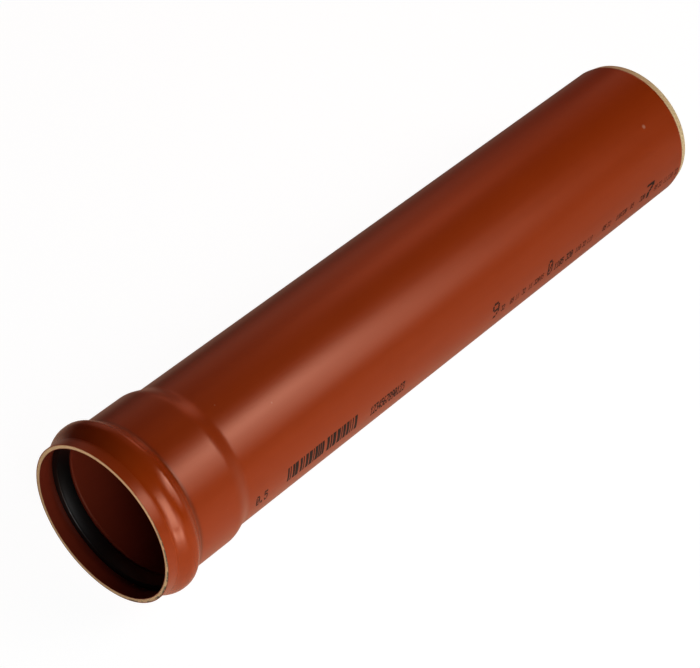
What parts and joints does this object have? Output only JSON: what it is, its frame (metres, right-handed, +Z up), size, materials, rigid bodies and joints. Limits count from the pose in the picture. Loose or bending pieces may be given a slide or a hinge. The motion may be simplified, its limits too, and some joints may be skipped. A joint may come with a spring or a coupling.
{
  "type": "pvc sewer pipe",
  "caption": "Socketed gravity sewer pipe of orange-brown PVC-U with a foamed core, a chamfered spigot and a rubber lip seal in the socket's bead.",
  "frame": {"origin": "on the floor under the pipe's middle: the centre of the bottom of its box", "axes": "+X along the pipe's axis from the socket's mouth to the spigot's end, +Z up"},
  "size_m": [0.5728, 0.1282, 0.1281],
  "materials": {
    "outer_skin": "satin extruded PVC-U, orange-brown",
    "foam_core": "matt sawn face of foamed PVC, cream",
    "inner_skin": "satin extruded PVC-U, orange-brown",
    "seal_rubber": "satin moulded rubber, black"
  },
  "bodies": {
    "root": {"outer_skin": "outer_skin", "foam_core": "foam_core", "inner_skin": "inner_skin", "seal_ring": "seal_rubber"}
  },
  "joints": []
}
